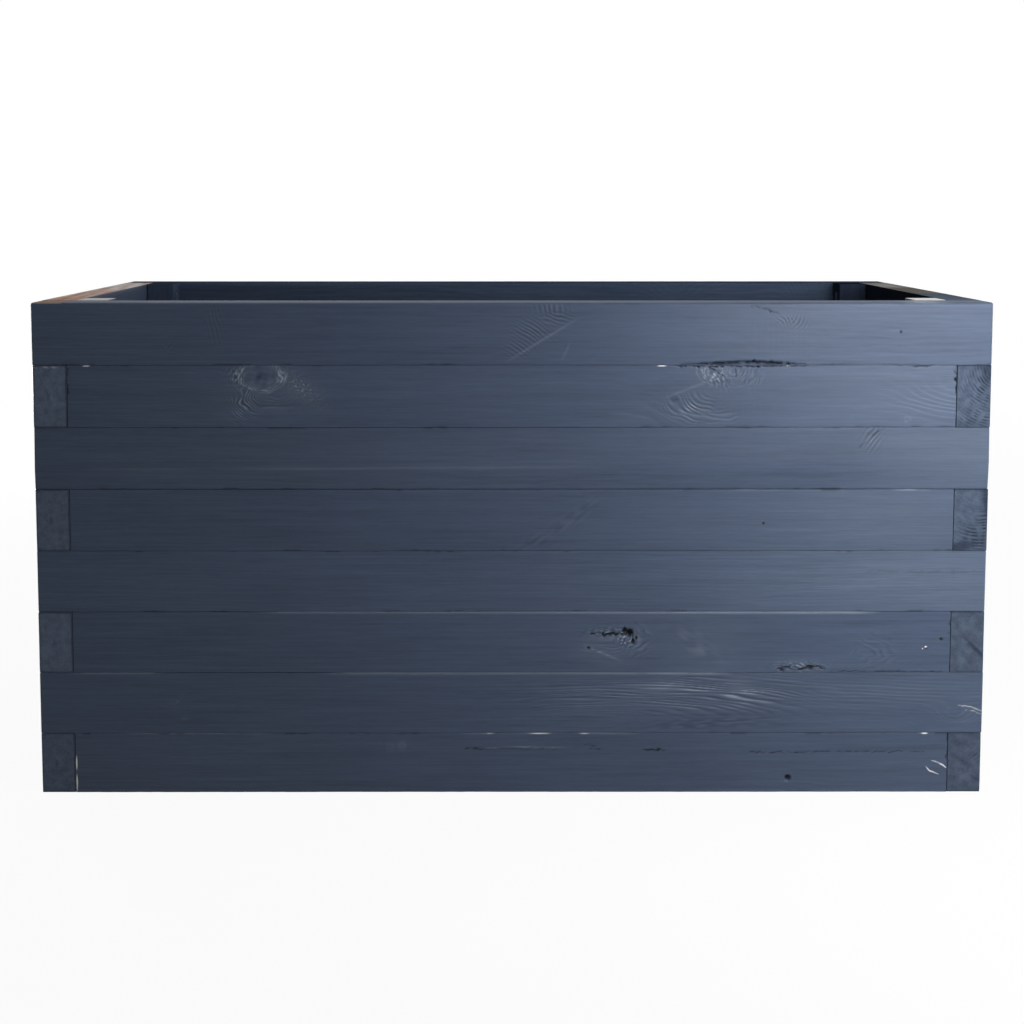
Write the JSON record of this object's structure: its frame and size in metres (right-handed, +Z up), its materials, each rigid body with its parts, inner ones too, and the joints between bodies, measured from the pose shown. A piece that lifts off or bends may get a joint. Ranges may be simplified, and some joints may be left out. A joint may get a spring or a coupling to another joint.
{
  "type": "wooden planter",
  "caption": "Long open planter box of stacked painted boards with interlocking corners, inner corner posts and a slatted floor on bearers.",
  "frame": {"origin": "middle of the underside, on the ground", "axes": "+X along the length, +Y to the back wall, +Z up"},
  "size_m": [1, 0.4, 0.5235],
  "materials": {
    "painted_wood": "satin paint",
    "bare_wood": "planed, bare",
    "zinc": "zinc plated"
  },
  "bodies": {
    "root": {"back_board_1": "painted_wood", "back_board_2": "painted_wood", "back_board_3": "painted_wood", "back_board_4": "painted_wood", "back_board_5": "painted_wood", "back_board_6": "painted_wood", "back_board_7": "painted_wood", "back_board_8": "painted_wood", "bearer_screws": "zinc", "corner_post_back_left": "painted_wood", "corner_post_back_right": "painted_wood", "corner_post_front_left": "painted_wood", "corner_post_front_right": "painted_wood", "floor_bearer_back": "bare_wood", "floor_bearer_front": "bare_wood", "floor_slat_1": "bare_wood", "floor_slat_2": "bare_wood", "floor_slat_3": "bare_wood", "floor_slat_4": "bare_wood", "floor_slat_5": "bare_wood", "floor_slat_6": "bare_wood", "floor_slat_7": "bare_wood", "floor_slat_8": "bare_wood", "floor_slat_9": "bare_wood", "front_board_1": "painted_wood", "front_board_2": "painted_wood", "front_board_3": "painted_wood", "front_board_4": "painted_wood", "front_board_5": "painted_wood", "front_board_6": "painted_wood", "front_board_7": "painted_wood", "front_board_8": "painted_wood", "left_board_1": "painted_wood", "left_board_2": "painted_wood", "left_board_3": "painted_wood", "left_board_4": "painted_wood", "left_board_5": "painted_wood", "left_board_6": "painted_wood", "left_board_7": "painted_wood", "left_board_8": "painted_wood", "post_screws_back_left": "zinc", "post_screws_back_right": "zinc", "post_screws_front_left": "zinc", "post_screws_front_right": "zinc", "right_board_1": "painted_wood", "right_board_2": "painted_wood", "right_board_3": "painted_wood", "right_board_4": "painted_wood", "right_board_5": "painted_wood", "right_board_6": "painted_wood", "right_board_7": "painted_wood", "right_board_8": "painted_wood", "slat_screws": "zinc"}
  },
  "joints": []
}
